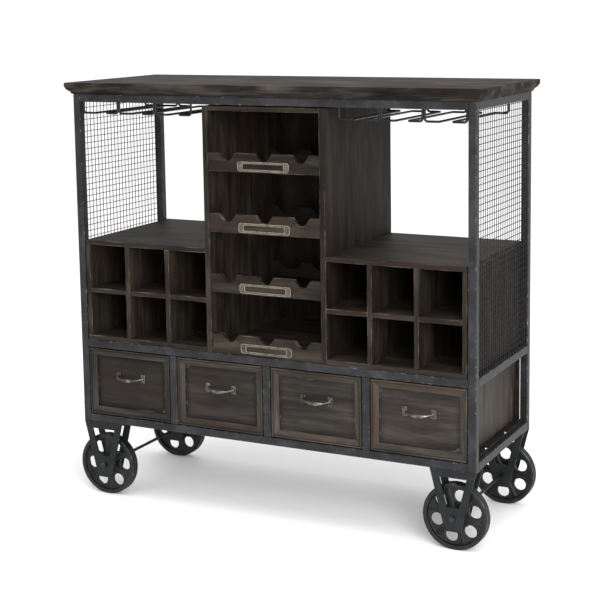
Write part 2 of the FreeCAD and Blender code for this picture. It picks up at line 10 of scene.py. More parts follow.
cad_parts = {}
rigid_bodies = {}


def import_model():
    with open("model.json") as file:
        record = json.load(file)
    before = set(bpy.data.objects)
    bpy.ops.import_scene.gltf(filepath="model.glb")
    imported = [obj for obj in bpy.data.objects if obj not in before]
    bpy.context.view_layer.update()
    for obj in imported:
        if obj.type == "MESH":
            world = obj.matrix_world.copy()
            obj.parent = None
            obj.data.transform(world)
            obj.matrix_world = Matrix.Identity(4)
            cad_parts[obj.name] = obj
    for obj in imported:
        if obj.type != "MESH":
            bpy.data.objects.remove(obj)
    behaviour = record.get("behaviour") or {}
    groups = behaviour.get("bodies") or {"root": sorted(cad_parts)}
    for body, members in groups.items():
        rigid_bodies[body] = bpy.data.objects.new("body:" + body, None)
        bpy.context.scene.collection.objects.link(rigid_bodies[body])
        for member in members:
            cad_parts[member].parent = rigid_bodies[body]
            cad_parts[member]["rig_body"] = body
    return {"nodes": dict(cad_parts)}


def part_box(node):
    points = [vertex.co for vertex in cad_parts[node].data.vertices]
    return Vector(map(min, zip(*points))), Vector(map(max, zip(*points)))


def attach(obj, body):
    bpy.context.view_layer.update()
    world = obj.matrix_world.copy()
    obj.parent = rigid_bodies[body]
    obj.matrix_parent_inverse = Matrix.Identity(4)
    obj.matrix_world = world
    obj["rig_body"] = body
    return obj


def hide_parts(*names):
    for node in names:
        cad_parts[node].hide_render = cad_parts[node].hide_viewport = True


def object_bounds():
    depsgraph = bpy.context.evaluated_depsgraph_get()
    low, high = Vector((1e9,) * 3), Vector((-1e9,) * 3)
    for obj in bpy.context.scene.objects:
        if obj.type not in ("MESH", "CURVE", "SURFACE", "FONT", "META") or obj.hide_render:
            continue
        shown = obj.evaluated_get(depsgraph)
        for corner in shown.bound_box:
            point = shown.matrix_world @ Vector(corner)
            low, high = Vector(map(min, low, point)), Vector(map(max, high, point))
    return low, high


# A bar cart: square steel tube, dark stained pine boards, wire mesh, cast-iron wheels and small
# brass and pewter fittings.  Everything is in metres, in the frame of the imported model.

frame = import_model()
cad_low, cad_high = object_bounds()
MM = 0.001

# ---- Sizes of the visible details ----
BOARD_EDGE = 1.1 * MM         # rounding of a sanded board's edges
BOARD_RUB = 3.0 * MM          # how far in from an edge the stain is rubbed through
BOARD_NICK = 0.9 * MM         # deepest dent on a board's edge
TUBE_EDGE = 1.9 * MM          # corner radius of the square tube
TUBE_RUB = 2.5 * MM
PLATE_EDGE = 0.8 * MM

PLANKS = 4                    # boards of the wooden top
PLANK_JOINT = 1.4 * MM        # width of the groove between two of them
PLANK_JOINT_DEEP = 0.9 * MM

MOULD_W = 19.0 * MM           # moulding round a drawer front
MOULD_DEEP = 9.0 * MM         # its face down to the middle panel
PANEL_T = 6.0 * MM
MITRE_GAP = 0.12 * MM
DRAWER_SHADE_TONES = (-0.55, -0.15, 0.35, 0.5)     # painted shade: the left drawers are darker, as if the light fell off towards the left

PULL_SPAN = 73.0 * MM
PULL_OUT = 17.0 * MM
PULL_SAG = 4.5 * MM
PULL_PLATE = (12.0 * MM, 22.0 * MM, 2.0 * MM)

LABEL_SIZE = (140.0 * MM, 24.0 * MM)
LABEL_WINDOW = (110.0 * MM, 13.0 * MM)
LABEL_T = 1.5 * MM
LABEL_DROP = 31.5 * MM        # from the upper edge of a bottle rest

MESH_PITCH = 15.25 * MM
MESH_WIRE_R = 0.95 * MM
MESH_SINK = 0.25 * MM         # how far two wires melt together at a weld

WHEEL_HOLES = 6
WHEEL_HOLE_R = 15.5 * MM
WHEEL_HOLE_RING_R = 49.5 * MM
WHEEL_HOLE_LIP = 1.4 * MM
WHEEL_BORE_R = 4.1 * MM
WEB_HALF = 4.0 * MM
RIB_PROUD = 3.0 * MM
# degrees that each wheel stands turned from one hole pointing to the right
WHEEL_TURNS = {"front_left": 4.0, "front_right": 17.0, "rear_left": 10.0, "rear_right": 27.0}

FORK_PLATE_T = 5.0 * MM
NUT_BORE_R = 4.02 * MM
RING_GAP = 9 * MM             # growth rings on a flat-sawn face of pine
RING_BEND = 9.0               # rings that the slow noise can carry an arch across


# ---- Colours and material nodes ----
def linear(colour):
    """An sRGB hex colour as the linear values that a shader takes."""
    parts = [int(colour[i:i + 2], 16) / 255 for i in (1, 3, 5)]
    return [p / 12.92 if p <= 0.04045 else ((p + 0.055) / 1.055) ** 2.4 for p in parts] + [1.0]


def connect(tree, node, links):
    """Gives inputs of a node their values, or the output of another node."""
    for socket, value in links.items():
        if isinstance(value, bpy.types.Node):
            value = next(output for output in value.outputs if output.enabled)
        if isinstance(value, bpy.types.NodeSocket):
            tree.links.new(value, node.inputs[socket])
        else:
            node.inputs[socket].default_value = value


def add(tree, kind, links, stops=(), **settings):
    """Adds one node with its settings and links; stops are the colours of a ramp."""
    made = tree.nodes.new("ShaderNode" + kind)
    for setting, value in settings.items():
        setattr(made, setting, value)
    for number, (place, colour) in enumerate(stops):
        marks = made.color_ramp.elements
        mark = marks[number] if number < len(marks) else marks.new(place)
        mark.position = place
        mark.color = linear(colour)
    connect(tree, made, links)
    return made


def new_finish(name):
    """An empty material: the material, its node tree and its shader node."""
    finish = bpy.data.materials.new(name)
    finish.use_nodes = True
    return finish, finish.node_tree, finish.node_tree.nodes["Principled BSDF"]


def stained_pine(name, dark, mid, light, warm, olive, rubbed, rough, shine):
    """Wire-brushed pine under a dark stain and a thin satin lacquer: soft streaks of reddish and
    olive brown along the grain, fine raised fibres, and paler wood where an edge is rubbed."""
    finish, tree, shader = new_finish(name)
    grain = add(tree, "Attribute", {}, attribute_name="grain").outputs["Vector"]
    tone = add(tree, "Attribute", {}, attribute_name="tone").outputs["Fac"]
    worn = add(tree, "Attribute", {}, attribute_name="worn").outputs["Fac"]
    # each pattern's length, width and depth in the wood, in millimetres; fibres are 0.3 mm wide in
    # real pine and are drawn 1.6 mm wide so that they show
    sizes = {"sweep": (420, 55, 55), "clouds": (170, 34, 34), "streaks": (300, 15, 15),
             "fibres": (80, 1.6, 1.6), "drift": (420, 60, 60), "patch": (230, 38, 38), "rub": (70, 16, 16)}
    noises = {}
    for pattern, size in sizes.items():
        sized = add(tree, "Mapping", {"Vector": grain, "Scale": [1 / (s * MM) for s in size]})
        noises[pattern] = add(tree, "TexNoise", {"Vector": sized, "Scale": 1.0, "Detail": 3.0,
                                                 "Roughness": 0.6})
    # growth rings, bent by slow noise into long arches
    across = add(tree, "SeparateXYZ", {0: grain}).outputs["Y"]
    bent = add(tree, "Math", {0: noises["sweep"], 1: RING_BEND * math.tau}, operation="MULTIPLY")
    turns = add(tree, "Math", {0: across, 1: math.tau / RING_GAP, 2: bent}, operation="MULTIPLY_ADD")
    rings = add(tree, "Math", {0: turns}, operation="SINE")
    amount = noises["clouds"]
    for pattern, share in ((rings, 0.018), (noises["streaks"], 0.45), (noises["fibres"], 0.1)):
        amount = add(tree, "Math", {0: pattern, 1: share, 2: amount}, operation="MULTIPLY_ADD")
    colour = add(tree, "ValToRGB", {0: amount}, stops=[(0.6, dark), (0.77, mid), (0.96, light)])
    for pattern, stain, start in (("drift", warm, 0.5), ("patch", olive, 0.52)):
        share = add(tree, "ValToRGB", {0: noises[pattern]},
                    stops=[(start, "#000000"), (start + 0.16, "#b8b8b8")])
        colour = add(tree, "Mix", {0: share, 6: colour, 7: linear(stain)}, data_type="RGBA")
    # the tone attribute scales the wood's lightness: random tone, and painted shade on some pieces
    shade = add(tree, "Math", {0: tone, 1: 0.5, 2: 0.75}, operation="MULTIPLY_ADD")
    colour = add(tree, "HueSaturation", {"Value": shade, "Color": colour})
    edge = add(tree, "Math", {0: worn, 1: noises["rub"]}, operation="MULTIPLY")
    share = add(tree, "ValToRGB", {0: edge}, stops=[(0.5, "#000000"), (0.66, "#c8c8c8")])
    colour = add(tree, "Mix", {0: share, 6: colour, 7: linear(rubbed)}, data_type="RGBA")
    gloss = add(tree, "Math", {0: noises["patch"], 1: 0.2, 2: rough - 0.1}, operation="MULTIPLY_ADD")
    relief = add(tree, "Math", {0: rings, 1: 0.18, 2: noises["fibres"]}, operation="MULTIPLY_ADD")
    bump = add(tree, "Bump", {"Height": relief, "Strength": 0.5, "Distance": 0.5 * MM})
    connect(tree, shader, {"Base Color": colour, "Roughness": gloss, "Normal": bump,
                           "Specular IOR Level": shine})
    return finish


def metal(name, dark, mid, bright, rubbed, metallic, rough, lump, grit, deep, rub_from=0.5, shine=0.5):
    """A metal in the cart's own space: clouds of tone lump mm across, a skin with grit mm lumps in
    relief, and brighter metal where an edge is rubbed."""
    finish, tree, shader = new_finish(name)
    place = add(tree, "TexCoord", {}).outputs["Object"]
    worn = add(tree, "Attribute", {}, attribute_name="worn").outputs["Fac"]
    noises = {}
    for pattern, size in (("clouds", lump), ("speckle", lump / 9), ("skin", grit), ("chips", 14)):
        noises[pattern] = add(tree, "TexNoise", {"Vector": place, "Scale": 1 / (size * MM), "Detail": 4.0,
                                                 "Roughness": 0.62})
    amount = add(tree, "Math", {0: noises["speckle"], 1: 0.4, 2: noises["clouds"]}, operation="MULTIPLY_ADD")
    colour = add(tree, "ValToRGB", {0: amount}, stops=[(0.54, dark), (0.7, mid), (0.9, bright)])
    edge = add(tree, "Math", {0: worn, 1: noises["chips"]}, operation="MULTIPLY")
    share = add(tree, "ValToRGB", {0: edge}, stops=[(rub_from, "#000000"), (rub_from + 0.16, "#ffffff")])
    colour = add(tree, "Mix", {0: share, 6: colour, 7: linear(rubbed)}, data_type="RGBA")
    gloss = add(tree, "Math", {0: noises["clouds"], 1: 0.3, 2: rough - 0.15}, operation="MULTIPLY_ADD")
    bump = add(tree, "Bump", {"Height": noises["skin"], "Strength": 0.6, "Distance": deep * MM})
    connect(tree, shader, {"Base Color": colour, "Roughness": gloss, "Normal": bump, "Metallic": metallic,
                           "Specular IOR Level": shine})
    return finish


def make_finishes():
    """One finish for each material slot of the record."""
    return {
        # the most handled wood: greyer, with long dark and pale streaks
        "top_wood": stained_pine("stained_pine_top", "#0c0b0a", "#1c1917", "#3f3934", "#2c201c", "#24221d",
                                 "#463f37", 0.62, 0.06),
        # cabinet boards: the same stain, browner, with paler rubbed front edges
        "cabinet_wood": stained_pine("stained_pine_cabinet", "#171411", "#241f1b", "#363029", "#2e211a",
                                     "#28261c", "#75685a", 0.62, 0.1),
        # drawer fronts and case sides: more red and olive in the panels
        "drawer_wood": stained_pine("stained_pine_drawers", "#1c1916", "#2c2723", "#403b36", "#38281f",
                                    "#312f23", "#625a51", 0.55, 0.18),
        # hidden boards: dull, hardly lacquered
        "inner_wood": stained_pine("stained_pine_inside", "#120f0d", "#1b1714", "#29231e", "#241a13",
                                   "#1e1c13", "#37302a", 0.7, 0.12),
        # blackened tube under clear lacquer: neutral dark grey, grey steel showing on a few corners
        "frame_steel": metal("blackened_steel_tube", "#151516", "#202022", "#303033", "#68696b",
                             0.2, 0.5, 60.0, 1.6, 0.05, 0.56, 0.3),
        # flame-cut plate: flatter grey-black than the tube
        "fork_steel": metal("blackened_steel_plate", "#0f1112", "#16191a", "#202425", "#4c5153",
                            0.2, 0.52, 35.0, 1.4, 0.07, 0.56, 0.25),
        # drawn wire, dipped black
        "mesh_steel": metal("black_dipped_wire", "#0d0d0e", "#141416", "#1e1e20", "#1e1e20",
                            0.2, 0.5, 20.0, 1.0, 0.03, 0.6, 0.4),
        # bent rod, black with a soft sheen
        "rack_steel": metal("black_bent_rod", "#0c0c0d", "#121213", "#1c1c1e", "#1c1c1e",
                            0.3, 0.42, 24.0, 1.0, 0.03, 0.6, 0.4),
        # sand-cast iron: pebbled skin about 1.2 mm across, nearly black, grey on the tread
        "cast_iron": metal("sand_cast_iron", "#0c0d0e", "#131516", "#1e2122", "#5a5e60",
                           0.2, 0.45, 22.0, 1.2, 0.2, 0.5, 0.35),
        # turned and threaded steel, darkened by oil
        "axle_steel": metal("oiled_turned_steel", "#1b1b1b", "#2c2c2c", "#474746", "#7a7a78",
                            0.8, 0.42, 8.0, 0.6, 0.03, 0.45),
        # zinc-plated screws: small and bright
        "screw_steel": metal("zinc_plated_steel", "#8b8a85", "#b9b7b0", "#d8d6cf", "#e0ded8",
                             1.0, 0.28, 4.0, 0.5, 0.02),
        # lacquered brass dulled to a grey brown, paler on the lips
        "aged_brass": metal("aged_brass", "#3b3932", "#5a564b", "#7c776a", "#938e80",
                            0.85, 0.4, 120.0, 0.8, 0.03, 0.34),
        # cast zinc, pewter-coloured under a dark wash
        "pewter": metal("washed_pewter", "#353331", "#4c4946", "#625f5b", "#85827d",
                        0.85, 0.36, 90.0, 0.9, 0.02, 0.42),
    }


# ---- Making a mesh ----
class Work:
    """The points and faces of one piece in the making, and what its finish needs at each point:
    grain (metres along, across and through the wood), tone (lightness, which on some pieces holds painted
    shade) and worn (1 on an edge)."""

    def __init__(self):
        self.points = []
        self.faces = []
        self.grain = []
        self.tone = []
        self.worn = []

    def point(self, place, grain=(0.0, 0.0, 0.0), tone=0.5, worn=0.0):
        self.points.append(tuple(place))
        self.grain.append(tuple(grain))
        self.tone.append(tone)
        self.worn.append(worn)
        return len(self.points) - 1

    def quad_rows(self, rows, closed_rows=False, closed_row=True):
        """Faces between neighbouring rows of point numbers."""
        pairs = list(zip(rows, rows[1:]))
        if closed_rows:
            pairs.append((rows[-1], rows[0]))
        for low, high in pairs:
            count = len(low)
            for i in range(count if closed_row else count - 1):
                j = (i + 1) % count
                self.faces.append((low[i], low[j], high[j], high[i]))

    def end_caps(self, rows):
        """One face over the first row and one over the last."""
        for row in (rows[0], rows[-1]):
            self.faces.append(tuple(row))


def placed(name, data):
    """A new object in the scene."""
    made = bpy.data.objects.new(name, data)
    bpy.context.scene.collection.objects.link(made)
    return made


def finish_piece(work, node, ending, slot, sharp=38.0, merge=0.0):
    """Turns the work into the piece that stands for a CAD node and rides on its body."""
    name = node + ending
    body = frame["nodes"][node]["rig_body"]
    mesh = bpy.data.meshes.new(name)
    mesh.from_pydata(work.points, [], work.faces)
    for label, kind, values in (("grain", "FLOAT_VECTOR", work.grain), ("tone", "FLOAT", work.tone),
                                ("worn", "FLOAT", work.worn)):
        layer = mesh.attributes.new(label, kind, "POINT")
        if kind == "FLOAT_VECTOR":
            layer.data.foreach_set("vector", [n for value in values for n in value])
        else:
            layer.data.foreach_set("value", values)
    shape = bmesh.new()
    shape.from_mesh(mesh)
    if merge:
        bmesh.ops.remove_doubles(shape, verts=shape.verts, dist=merge)
    bmesh.ops.recalc_face_normals(shape, faces=shape.faces)
    shape.to_mesh(mesh)
    shape.free()
    mesh.polygons.foreach_set("use_smooth", [True] * len(mesh.polygons))
    mesh.set_sharp_from_angle(angle=math.radians(sharp))
    mesh.materials.append(finishes[slot])
    piece = placed(name, mesh)
    weighted = piece.modifiers.new("even_shading", "WEIGHTED_NORMAL")
    weighted.keep_sharp = True
    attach(piece, body)
    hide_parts(node)


def solids(node):
    """Corners of each board or tube of a CAD node that holds only square-cut ones."""
    points = [v.co for v in frame["nodes"][node].data.vertices]
    corners_each = 24
    groups = [points[start:start + corners_each] for start in range(0, len(points), corners_each)]
    return [tuple(Vector(end(p[k] for p in group) for k in range(3)) for end in (min, max))
            for group in groups]


def cuts(low, high, edge, rub, step):
    """Places along one side of a board: close together at its ends, then evenly spaced."""
    rub = min(rub, (high - low) / 2 - edge - 0.1 * MM)
    inner_low = low + edge + rub
    inner_high = high - edge - rub
    count = max(1, math.ceil((inner_high - inner_low) / step))
    between = [inner_low + (inner_high - inner_low) * i / count for i in range(count + 1)]
    return [low, low + edge] + between + [high - edge, high]


def rounded_box(work, low, high, along, draw, edge, rub, nick=0.0, mean_tone=0.5, painted_edge_shade=0.0):
    """A board or tube with rounded edges, dented a little by use, its grain along axis number along.
    Its tone falls towards the edges by the given amount of painted shade, as in a recess."""
    low = Vector(low)
    high = Vector(high)
    places = [cuts(low[k], high[k], edge, rub, 45 * MM) for k in range(3)]
    counts = [len(p) for p in places]
    others = [k for k in range(3) if k != along]
    if high[others[0]] - low[others[0]] < high[others[1]] - low[others[1]]:
        others.reverse()
    shift = [draw.uniform(0, 9) for _ in range(3)]
    tone = mean_tone + draw.uniform(-0.2, 0.2)
    numbers = {}

    def corner(index):
        if index in numbers:
            return numbers[index]
        raw = Vector(places[k][index[k]] for k in range(3))
        held = Vector(min(max(raw[k], low[k] + edge), high[k] - edge) for k in range(3))
        out = (raw - held).normalized()
        near = sum(1 for k in range(3) if index[k] <= 1 or index[k] >= counts[k] - 2)
        worn = 1.0 if near >= 2 else 0.0
        place = held + out * edge
        if worn and nick:
            dent = noise.noise(place * 55 + Vector(shift)) + 0.5 * noise.noise(place * 170 + Vector(shift))
            place = place - out * nick * max(0.0, dent) ** 1.5
        grain = (raw[along] + shift[0], raw[others[0]] + shift[1], raw[others[1]] + shift[2])
        # painted shade: points on an edge get a lower tone
        numbers[index] = work.point(place, grain, tone - painted_edge_shade if near >= 2 else tone, worn)
        return numbers[index]

    for k in range(3):
        a, b = [n for n in range(3) if n != k]
        for end in (0, counts[k] - 1):
            for i in range(counts[a] - 1):
                for j in range(counts[b] - 1):
                    ring = []
                    for di, dj in ((0, 0), (1, 0), (1, 1), (0, 1)):
                        index = [0, 0, 0]
                        index[k] = end
                        index[a] = i + di
                        index[b] = j + dj
                        ring.append(corner(tuple(index)))
                    work.faces.append(tuple(ring))


def outlines(node, level):
    """Closed outlines of a CAD node's flat faces that look to the front at one place along Y, as
    (x, z) points. Material lies on the left of each, seen from the front."""
    shape = bmesh.new()
    shape.from_mesh(frame["nodes"][node].data)
    bmesh.ops.remove_doubles(shape, verts=shape.verts, dist=0.002 * MM)
    shape.normal_update()
    faces = [f for f in shape.faces
             if f.normal.y < -0.9 and all(abs(v.co.y - level) < 0.01 * MM for v in f.verts)]
    chosen = set(faces)
    after = {}
    for face in faces:
        for loop in face.loops:
            if sum(1 for f in loop.edge.link_faces if f in chosen) == 1:
                after[loop.vert.index] = loop.link_loop_next.vert.index
    shape.verts.ensure_lookup_table()
    loops = []
    while after:
        start = next(iter(after))
        here = after.pop(start)
        ring = [start]
        while here != start:
            ring.append(here)
            here = after.pop(here)
        loops.append([(shape.verts[i].co.x, shape.verts[i].co.z) for i in ring])
    shape.free()
    return loops


def moved_in(ring, distance):
    """An outline moved into its material by a distance, with mitred corners."""
    out = []
    count = len(ring)
    for i, (x, z) in enumerate(ring):
        before = Vector(ring[i - 1])
        after = Vector(ring[(i + 1) % count])
        here = Vector((x, z))
        d1 = (here - before).normalized()
        d2 = (after - here).normalized()
        n1 = Vector((-d1.y, d1.x))
        n2 = Vector((-d2.y, d2.x))
        lean = (n1 + n2) / max(0.35, 1 + n1.dot(n2))
        out.append((x + lean.x * distance, z + lean.y * distance))
    return out


def plate(work, rings, y_front, thick, draw, edge=PLATE_EDGE, rub=1.5 * MM, along=0, worn_edge=1.0):
    """A flat piece cut to outlines in X and Z: its front at y_front, its edges rounded front and back."""
    shift = [draw.uniform(0, 9) for _ in range(3)]
    tone = draw.random()

    def row(ring, inset, y, worn):
        numbers = []
        for x, z in moved_in(ring, inset):
            grain = (x, z, y) if along == 0 else (z, x, y)
            grain = [g + s for g, s in zip(grain, shift)]
            numbers.append(work.point((x, y, z), grain, tone, worn))
        return numbers

    caps = {0: [], 1: []}
    for ring in rings:
        rows = []
        for back in (0, 1):
            face = y_front + thick * back
            inward = 1 - 2 * back
            steps = [(edge + rub, 0.0, 0.0), (edge, 0.0, worn_edge), (edge * 0.3, edge * 0.3, worn_edge),
                     (0.0, edge, worn_edge)]
            side = [row(ring, inset, face + inward * deep, worn) for inset, deep, worn in steps]
            caps[back].append(side[0])
            rows += side if back == 0 else side[::-1]
        work.quad_rows(rows)
    for back in (0, 1):
        flat = [n for numbers in caps[back] for n in numbers]
        corners = [[Vector((work.points[n][0], work.points[n][2], 0)) for n in numbers]
                   for numbers in caps[back]]
        for triangle in tessellate_polygon(corners):
            work.faces.append(tuple(flat[t] for t in triangle))


def turned(work, profile, segments, place):
    """A solid turned about Y: profile lists (radius, distance along Y, worn)."""
    rows = []
    for radius, along, worn in profile:
        row = []
        for i in range(segments):
            angle = math.tau * i / segments
            where = Vector((radius * math.cos(angle), along, radius * math.sin(angle)))
            row.append(work.point(where + place, worn=worn))
        rows.append(row)
    work.quad_rows(rows)
    work.end_caps(rows)


def swept(work, path, section, closed=False, worn=0.0):
    """A rod along a path of points. section(share) gives its half width, half height and number of
    sides there."""
    rows = []
    count = len(path)
    side = None
    for i, here in enumerate(path):
        before = path[i - 1] if closed or i else path[0]
        after = path[(i + 1) % count] if closed or i < count - 1 else path[-1]
        ahead = (after - before).normalized()
        if side is None:
            upright = abs(ahead.z) > 0.9
            side = (ahead.orthogonal() if upright else ahead.cross(Vector((0, 0, 1)))).normalized()
        side = (side - ahead * side.dot(ahead)).normalized()
        up = side.cross(ahead)
        width, height, sides = section(i / (count - 1))
        row = []
        for j in range(sides):
            angle = math.tau * j / sides
            place = here + side * (width * math.cos(angle)) + up * (height * math.sin(angle))
            row.append(work.point(place, worn=worn))
        rows.append(row)
    work.quad_rows(rows, closed_rows=closed)
    if not closed:
        work.end_caps(rows)


# ---- Boards ----
BOARDS = {
    # node: finish, the axis that its grain runs along, and its mean tone; the low tones of the right column
    # side and of the left cubby boards are painted shade
    "column_side_left": ("cabinet_wood", 2, 0.5),
    # painted shade: this side gets a much lower tone than the left one
    "column_side_right": ("cabinet_wood", 2, -0.55),
    "column_top_and_floor": ("cabinet_wood", 0, 0.7),
    # painted shade: the left cubby boards are darker than the right ones
    "cubby_top_left": ("cabinet_wood", 0, 0.1),
    "cubby_top_right": ("cabinet_wood", 0, 0.5),
    "cubby_shelves_left": ("cabinet_wood", 0, 0.4),
    "cubby_shelves_right": ("cabinet_wood", 0, 0.6),
    "cubby_uprights_left": ("cabinet_wood", 2, 0.4),
    "cubby_uprights_right": ("cabinet_wood", 2, 0.6),
    "back_panels": ("inner_wood", 2, 0.3),
    "cabinet_deck": ("inner_wood", 0, 0.5),
    "case_floor": ("inner_wood", 0, 0.5),
    "case_sides": ("drawer_wood", 2, 0.5),
    "case_back": ("inner_wood", 0, 0.5),
    "drawer_partitions": ("inner_wood", 1, 0.5),
    "drawer_runners": ("inner_wood", 1, 0.5),
}
TUBES = ["front_left_post", "front_right_post", "rear_left_post", "rear_right_post", "top_rails",
         "middle_rails", "bottom_rails", "drawer_uprights"]


def make_square_cut(node, ending, slot, seed, edge, rub, nick, along=None, mean_tone=0.5):
    """All boards or tubes of one CAD node. Where along isn't given, the grain runs the long way."""
    draw = random.Random(seed)
    work = Work()
    for low, high in solids(node):
        size = high - low
        grain = max(range(3), key=lambda k: size[k]) if along is None else along
        rounded_box(work, low, high, grain, draw, edge, rub, nick, mean_tone)
    finish_piece(work, node, ending, slot)


def make_boards_and_tubes():
    for number, (node, (slot, along, mean_tone)) in enumerate(BOARDS.items()):
        make_square_cut(node, "_board", slot, 100 + number, BOARD_EDGE, BOARD_RUB, BOARD_NICK, along,
                        mean_tone)
    for number, node in enumerate(TUBES):
        make_square_cut(node, "_tube", "frame_steel", 200 + number, TUBE_EDGE, TUBE_RUB, 0.25 * MM)
    for number in range(1, 5):
        make_square_cut("drawer_box_%d" % number, "_boards", "inner_wood", 300 + number, 0.8 * MM,
                        BOARD_RUB, 0.4 * MM)


def make_bottle_rests():
    for level in range(1, 5):
        node = "bottle_rest_%d" % level
        low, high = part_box(node)
        draw = random.Random(400 + level)
        work = Work()
        plate(work, outlines(node, low.y), low.y, high.y - low.y, draw, 1.0 * MM, 2.2 * MM)
        finish_piece(work, node, "_board", "cabinet_wood")
    node = "rear_bottle_rests"
    low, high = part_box(node)
    work = Work()
    for number, ring in enumerate(outlines(node, low.y)):
        plate(work, [ring], low.y, high.y - low.y, random.Random(410 + number), 1.0 * MM, 2.2 * MM)
    finish_piece(work, node, "_boards", "inner_wood")


# ---- Wooden top ----
def make_top():
    """Planks side by side with a groove between them, and an ogee moulding cut along all four edges."""
    node = "wooden_top"
    low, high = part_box(node)
    draw = random.Random(500)
    thick = high.z - low.z
    # rings of the edge, from the upper surface down: (in from the outermost face, down, worn)
    round_r = 2.0 * MM
    face_low = 12.0 * MM
    quirk = 2.0 * MM
    foot_in = 13.0 * MM
    edge = [(round_r, 0.0, 0.6), (round_r * 0.3, round_r * 0.3, 1.0), (0.0, round_r, 0.8),
            (0.0, round_r * 2.2, 0.0), (0.0, face_low - 2.5 * MM, 0.0), (0.2 * MM, face_low - 0.5 * MM, 0.9),
            (0.8 * MM, face_low, 0.9), (quirk, face_low + 0.2 * MM, 0.0)]
    fall = thick - face_low
    steps = 8
    for i in range(1, steps + 1):
        share = i / steps
        wave = 1.6 * MM * math.sin(share * math.tau)
        edge.append((quirk + (foot_in - quirk) * share - wave, face_low + fall * share, 0.0))
    edge.append((foot_in + 4 * MM, thick, 0.0))
    inset_x = edge[0][0]
    xs = cuts(low.x + inset_x, high.x - inset_x, 1 * MM, 3 * MM, 36 * MM)
    y0 = low.y + inset_x
    y1 = high.y - inset_x
    plank = (y1 - y0) / PLANKS
    # rows of points from front to back: (place, number of the plank, depth of the joint there)
    across = [(y0, 0, 0.0), (y0 + 1 * MM, 0, 0.0)]
    for number in range(PLANKS):
        start = y0 + number * plank
        if number:
            across += [(start - PLANK_JOINT / 2, number - 1, 0.0), (start, number, PLANK_JOINT_DEEP),
                       (start + PLANK_JOINT / 2, number, 0.0)]
        across += [(start + plank * i / 4, number, 0.0) for i in (1, 2, 3)]
    across += [(y1 - 1 * MM, PLANKS - 1, 0.0), (y1, PLANKS - 1, 0.0)]
    ys, planks, joint_depth = zip(*across)
    tones = [draw.uniform(0.25, 0.85) for _ in range(PLANKS)]
    shifts = [draw.uniform(0, 30) for _ in range(PLANKS)]
    work = Work()
    grid = []
    for i, x in enumerate(xs):
        column = []
        for row, y in enumerate(ys):
            # hand-scraped planks: a slow swell of a fraction of a millimetre
            swell = 0.35 * MM * noise.noise(Vector((x * 5, y * 22, shifts[planks[row]])))
            rim = min(1.0, min(x - xs[0], xs[-1] - x, y - y0, y1 - y) / (12 * MM))
            z = high.z - joint_depth[row] - (0.35 * MM + swell) * max(0.0, rim) * 0.5
            worn = 0.75 if i in (0, len(xs) - 1) or row in (0, len(ys) - 1) else 0.0
            grain = (x + shifts[planks[row]], y, z)
            column.append(work.point((x, y, z), grain, tones[planks[row]], worn))
        grid.append(column)
    work.quad_rows(grid, closed_row=False)
    last_x = len(xs) - 1
    last_y = len(ys) - 1
    border = [(i, 0) for i in range(last_x)] + [(last_x, j) for j in range(last_y)]
    border += [(i, last_y) for i in range(last_x, 0, -1)] + [(0, j) for j in range(last_y, 0, -1)]
    rows = [[grid[i][j] for i, j in border]]
    middle = (low + high) / 2
    half = (high - low) / 2
    for inset, down, worn in edge[1:]:
        row = []
        for i, j in border:
            x = middle.x + (xs[i] - middle.x) * (half.x - inset) / (half.x - inset_x)
            y = middle.y + (ys[j] - middle.y) * (half.y - inset) / (half.y - inset_x)
            if i in (0, last_x) and joint_depth[j]:
                x -= math.copysign(0.5 * MM, x)
            z = high.z - down
            # the moulding shows the wood's layers turned down over the edge
            grain = (x * (1.0 if j in (0, last_y) else 0.3) + shifts[planks[j]], y, z)
            dent = 0.3 * MM * max(0.0, noise.noise(Vector((x * 40, y * 40, z * 60)))) if worn else 0.0
            place = (x - math.copysign(dent, x - middle.x), y - math.copysign(dent, y - middle.y), z)
            row.append(work.point(place, grain, tones[planks[j]], worn))
        rows.append(row)
    work.quad_rows(rows)
    work.faces.append(tuple(rows[-1]))
    finish_piece(work, node, "_planks", "top_wood", sharp=30.0)


